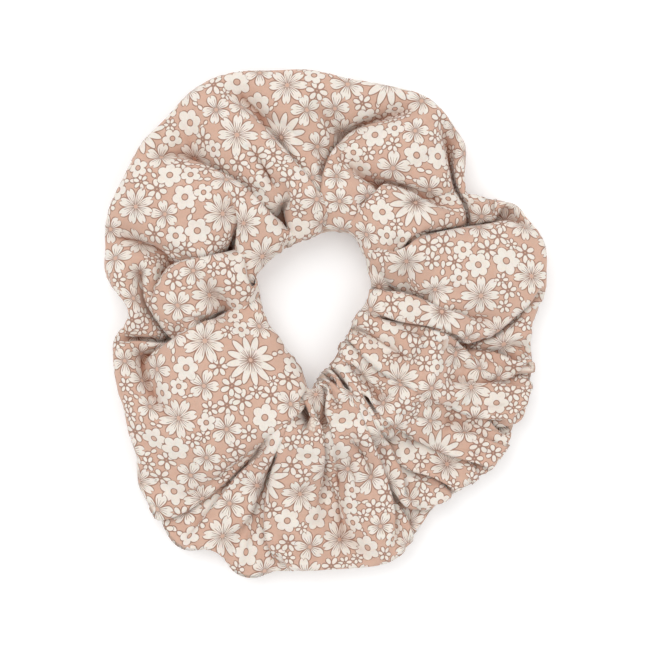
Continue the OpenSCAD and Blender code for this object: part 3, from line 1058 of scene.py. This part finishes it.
def build_elastic(material):
    """A strip of elastic bent into a loop, with its last part lying on the outside of its first."""
    lap = LAP_LENGTH / ELASTIC_MID
    start = math.radians(LAP_ANGLE) - lap / 2
    turns = np.linspace(start, start + 2 * np.pi + lap, 760)
    left = start + 2 * np.pi - turns
    rise = np.clip(1 - left / math.radians(LAP_RISE), 0, 1)
    rise = rise * rise * (3 - 2 * rise)
    radius = ELASTIC_MID + rise * (ELASTIC_THICK + LAP_GAP)
    half_w, half_t = ELASTIC_WIDE / 2, ELASTIC_THICK / 2
    rows = np.linspace(-half_w + EDGE_WIDTH, half_w - EDGE_WIDTH, 23)
    ribs = half_t - RIB_DEPTH * (1 - np.abs(np.sin(np.pi * (rows + half_w) / RIB_PITCH)) ** 0.7)
    section = [(-t, z) for z, t in zip(rows, ribs)]
    top = half_w - EDGE_DROP
    section += [(-EDGE_THICK, top), (0.0, half_w), (EDGE_THICK, top)]
    section += [(t, z) for z, t in zip(rows[::-1], ribs[::-1])]
    section += [(EDGE_THICK, -top), (0.0, -half_w), (-EDGE_THICK, -top)]
    section = np.array(section)
    middle = (ELASTIC_LOW + ELASTIC_HIGH) / 2
    vertices, marks = [], []
    for turn, r in zip(turns, radius):
        ends = min(turn - start, start + 2 * np.pi + lap - turn) * ELASTIC_MID
        squeeze = 1 - 0.25 * math.exp(-ends / 0.5)
        angle = np.full(len(section), turn)
        ring = ring_point(angle, r + section[:, 0] * squeeze, middle + section[:, 1])
        vertices.extend(ring)
        marks.extend((turn * ELASTIC_MID, z + half_w, 0.0) for _, z in section)
    faces = ring_faces(len(turns), len(section))
    faces = [tuple(reversed(f)) for f in faces]
    return mesh_object("braided_elastic", vertices, faces, material, "strip", marks)


def build_join_stitches(material):
    """Two zigzag bars that hold the elastic's lapped ends, on its outer and inner face."""
    paths = []
    lap = math.degrees(LAP_LENGTH / ELASTIC_MID)
    middle = (ELASTIC_LOW + ELASTIC_HIGH) / 2
    outer = ELASTIC_MID + ELASTIC_THICK * 1.5 + 0.10
    inner = ELASTIC_MID - ELASTIC_THICK * 0.5 - 0.04
    half_bar = math.degrees(BAR_WIDTH / 2 / ELASTIC_MID)
    # a stitch dips into the elastic at both ends
    share = np.array([0, 0.06, 0.2, 0.5, 0.8, 0.94, 1.0])
    sink = np.array([1.0, 0.35, 0, 0, 0, 0.35, 1.0])
    for side in (-1, 1):
        bar = LAP_ANGLE + side * (lap / 2 - 6)
        for face, dip in ((outer, -0.45), (inner, 0.45)):
            for k in range(BAR_ZIGS):
                height = middle + BAR_HEIGHT * ((k + share) / BAR_ZIGS - 0.5)
                swing = half_bar * (1 if k % 2 else -1) * (1 - 2 * np.clip(share * 1.1 - 0.05, 0, 1))
                paths.append(ring_point(np.radians(bar + swing), face + sink * dip, height))
    return thread_object("elastic_zigzag_stitches", paths, THREAD_R, material)


def on_cloth(points, u, v, out):
    """Places at lengths along and across the gathered cloth, a little way out from it."""
    rows, columns = points.shape[:2]
    lifted = points + cloth_normals(points) * out
    x, y = u / CLOTH_L * rows, v / CLOTH_W * columns
    i, j = np.floor(x).astype(int), np.floor(y).astype(int)
    total = 0
    for a, share_a in ((0, 1 - (x - i)), (1, x - i)):
        for b, share_b in ((0, 1 - (y - j)), (1, y - j)):
            total = total + lifted[(i + a) % rows, (j + b) % columns] * (share_a * share_b)[..., None]
    return total


def build_seam_threads(points, material):
    """Both threads of the long seam, on the inside, and the slip stitches that close the tube."""
    stitches = int(CLOTH_L / STITCH_LENGTH)
    made = []
    for name, side in (("long_seam_needle_stitches", 0.7), ("long_seam_bobbin_stitches", -0.7)):
        share = np.array([0.0, 0.18, 0.36, 0.54, 0.72])
        u = (np.arange(stitches)[:, None] + share) * CLOTH_L / stitches
        v = np.full(u.shape, SEAM_AT + side)
        paths = on_cloth(points, u, v, -CLOTH_T - THREAD_R - 0.02)
        made.append(thread_object(name, paths, THREAD_R, material))
    share = np.array([0.0, 0.12, 0.5, 0.88, 1.0])
    # a slip stitch dips into the cloth at both ends
    sink = np.array([-0.12, 0.04, 0.10, 0.04, -0.12])
    v = (np.arange(CLOSING_STITCHES)[:, None] + 0.5) / CLOSING_STITCHES * CLOTH_W + 0.9 * share
    u = np.broadcast_to(0.8 - 1.7 * share, v.shape)
    paths = np.stack([on_cloth(points, u[:, i], v[:, i], sink[i]) for i in range(len(share))], 1)
    made.append(thread_object("closing_slip_stitches", paths, THREAD_R * 0.8, material))
    return made


# ---------------- table, light and camera


def floor_material():
    """A pale, matt table top with a faint grain."""
    mat, n, shader = new_material("pale_table", {
        "Emission Strength": 0.14,
        "Roughness": 0.75,
        "Specular IOR Level": 0.2,
    })
    coord = n.node("TexCoord").outputs["Object"]
    grain = n.noise(coord, 60.0, 3.0, 0.5)
    tone = n.mix(grain * 0.3, linear(0.965, 0.965, 0.965), linear(0.955, 0.955, 0.957))
    n.feed(shader["Base Color"], tone)
    n.feed(shader["Emission Color"], tone)
    return mat


def add_floor():
    """A flat table top under the scrunchie."""
    s = TABLE_HALF
    mesh = bpy.data.meshes.new("table_top")
    mesh.from_pydata([(-s, -s, 0), (s, -s, 0), (s, s, 0), (-s, s, 0)], [], [(0, 1, 2, 3)])
    mesh.materials.append(floor_material())
    floor = add_object("table_top", mesh)


def add_light(name, place, size, power):
    """A round soft light that shines on the scrunchie."""
    data = bpy.data.lights.new(name, "AREA")
    data.shape = "DISK"
    data.size = size
    data.energy = power
    lamp = add_object(name, data)
    lamp.location = place
    lamp.rotation_euler = (Vector(LIGHT_AIM) - Vector(place)).to_track_quat("-Z", "Y").to_euler()


def add_studio():
    """An even white room with a key light and a weaker fill."""
    world = bpy.data.worlds.new("soft_room")
    world.use_nodes = True
    back = world.node_tree.nodes["Background"]
    back.inputs["Color"].default_value = (1.0, 1.0, 1.0, 1.0)
    back.inputs["Strength"].default_value = 0.74
    bpy.context.scene.world = world
    add_light("key", (-0.35, 0.5, 1.0), 1.0, 5.0)
    add_light("fill", (0.5, -0.4, 1.0), 1.2, 3.2)
    bpy.context.scene.view_settings.view_transform = "Standard"


def add_camera():
    """Looks straight down on the scrunchie with a long lens."""
    data = bpy.data.cameras.new("overhead")
    data.lens = 100.0
    data.sensor_width = 36.0
    camera = add_object("overhead", data)
    distance = VIEW_WIDTH * data.lens / data.sensor_width
    camera.location = (*VIEW_MIDDLE, VIEW_HEIGHT + distance)
    bpy.context.scene.camera = camera


# ---------------- the scrunchie

gathered = gather_cloth(SIM_SEED)
skin = pucker(smooth_grid(gathered, SKIN_ROWS, SKIN_COLUMNS), SIM_SEED)
skin = press_pleats(skin) + (RING_X, RING_Y, 0)
cover = build_cloth(skin)
cover.data.materials.append(cotton_material())
thread = thread_material()
elastic = build_elastic(elastic_material())
join = build_join_stitches(thread)
needle, bobbin, closing = build_seam_threads(skin, thread)

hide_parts("fabric_tube")
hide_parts("long_seam_needle_thread")
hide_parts("long_seam_bobbin_thread")
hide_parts("closing_seam_thread")
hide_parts("elastic_band")
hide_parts("elastic_join_stitches")
for piece in (cover, needle, bobbin, closing):
    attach(piece, "cover")
for piece in (elastic, join):
    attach(piece, "elastic")

add_floor()
add_studio()
add_camera()
